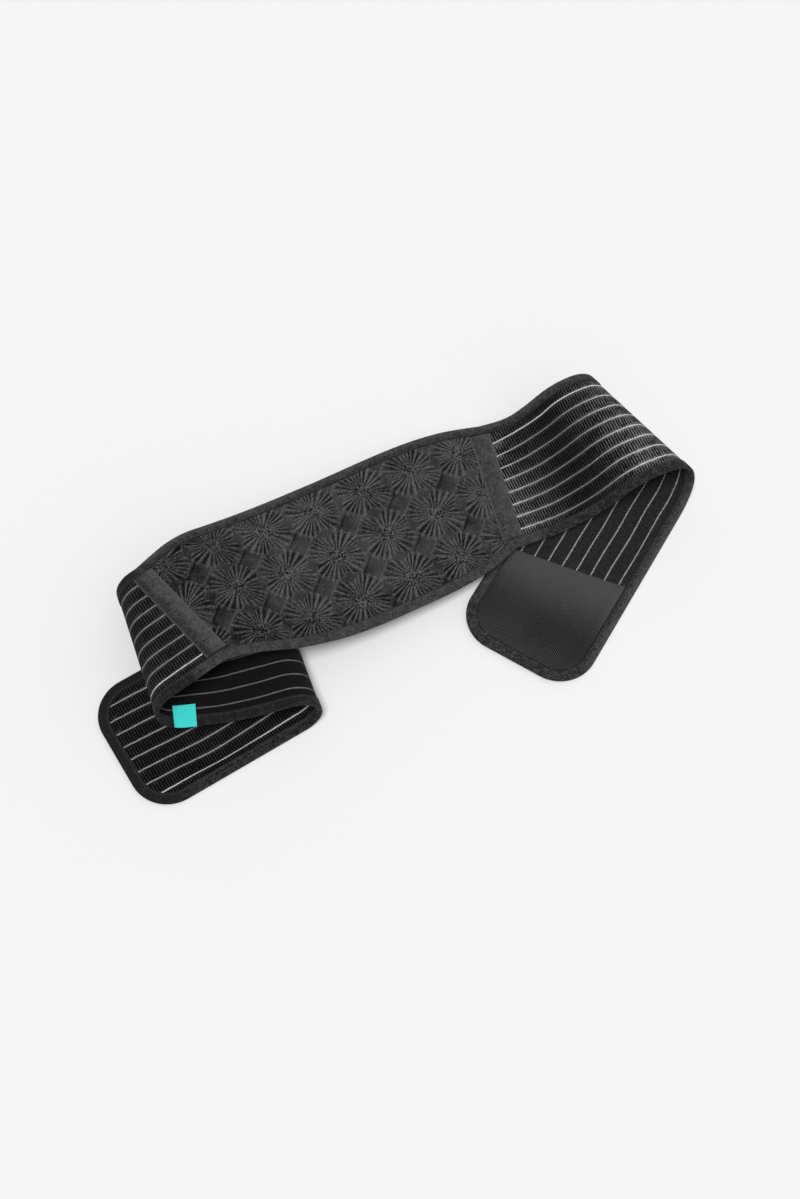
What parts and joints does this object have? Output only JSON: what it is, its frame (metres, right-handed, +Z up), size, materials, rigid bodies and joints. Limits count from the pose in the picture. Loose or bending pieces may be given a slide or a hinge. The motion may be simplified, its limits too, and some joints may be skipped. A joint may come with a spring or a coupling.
{
  "type": "maternity belly band",
  "caption": "Wide elastic belly support belt with a padded back panel, bound edges and a hook patch, lying with one wing looped up and the other folded in a Z.",
  "frame": {"origin": "on the table under the middle of the belt's box", "axes": "+Z up from the table, +X along the belt's longest extent towards the looped wing, +Y away from the viewer"},
  "size_m": [0.546, 0.4098, 0.0727],
  "materials": {
    "panel_cloth": "charcoal pleated padded cloth",
    "elastic": "near-black ribbed elastic with thin pale stripes",
    "brushed_tape": "brushed charcoal tape",
    "hook_tape": "fine smooth hook tape",
    "label_cloth": "turquoise woven label"
  },
  "bodies": {
    "root": {"back_panel": "panel_cloth", "right_wing": "elastic", "left_wing": "elastic", "right_seam_tape": "brushed_tape", "left_seam_tape": "brushed_tape", "edge_binding": "brushed_tape", "hook_patch": "hook_tape", "label": "label_cloth"}
  },
  "joints": []
}
